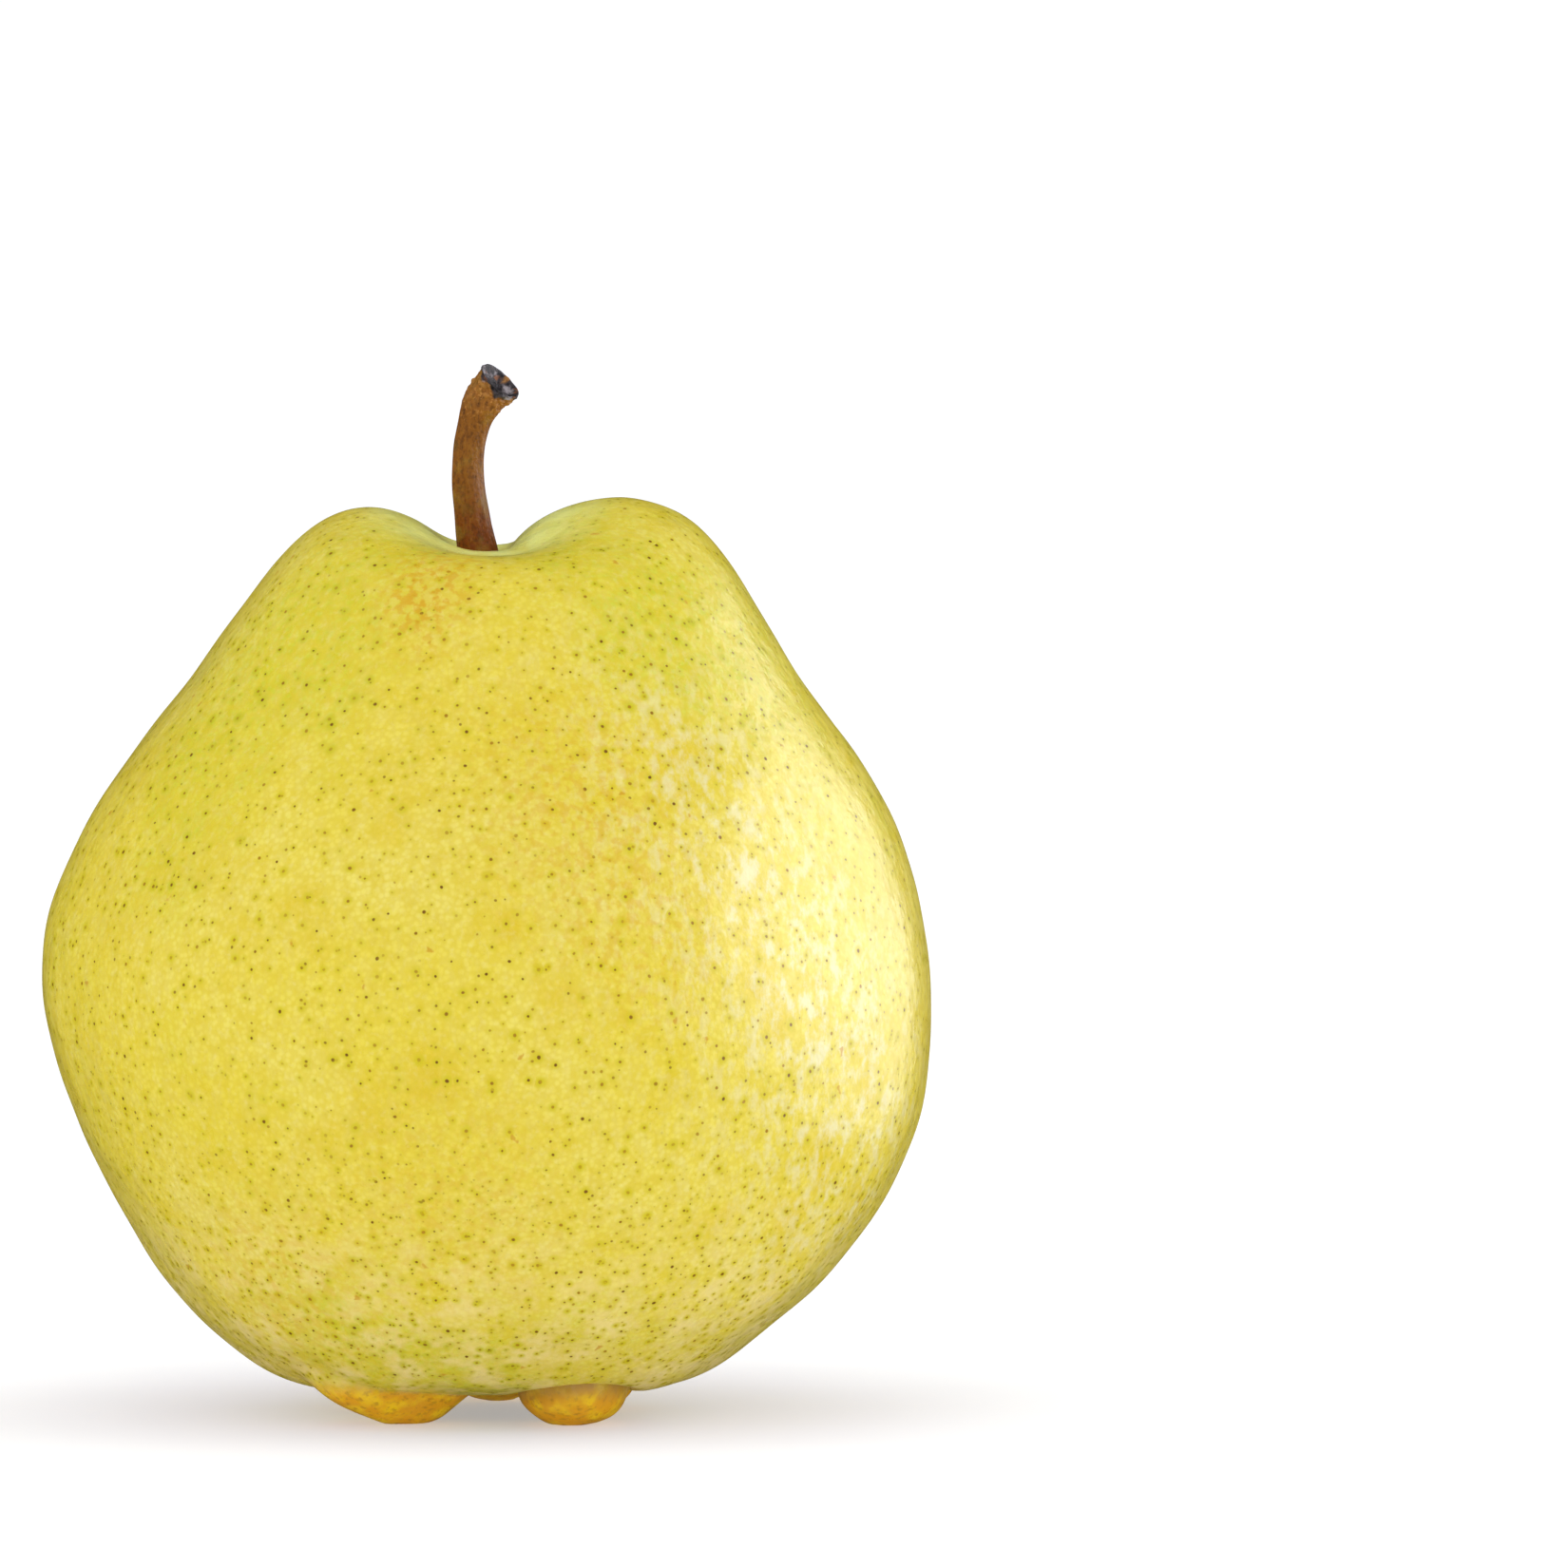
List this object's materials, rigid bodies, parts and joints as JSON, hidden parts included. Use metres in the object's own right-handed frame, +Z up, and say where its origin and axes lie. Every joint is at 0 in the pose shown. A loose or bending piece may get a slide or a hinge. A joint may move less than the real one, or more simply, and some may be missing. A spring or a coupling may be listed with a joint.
{
  "type": "pear",
  "caption": "Whole ripe yellow pear with a bent brown stem, standing upright on the knobs round its dried calyx.",
  "frame": {"origin": "on the ground, under the middle of the object's box", "axes": "+Z up along the fruit from the calyx to the stem, -Y towards the side that the picture shows, +X to its right"},
  "size_m": [0.08, 0.077, 0.0941],
  "materials": {
    "skin": "satin fruit skin, yellow with green clouds and brown specks",
    "stem": "dry woody stalk",
    "dried_flower": "withered, matt"
  },
  "bodies": {
    "root": {"fruit": "skin", "stem": "stem", "stamen_tuft": "dried_flower", "sepal_1": "dried_flower", "sepal_2": "dried_flower", "sepal_3": "dried_flower", "sepal_4": "dried_flower", "sepal_5": "dried_flower"}
  },
  "joints": []
}
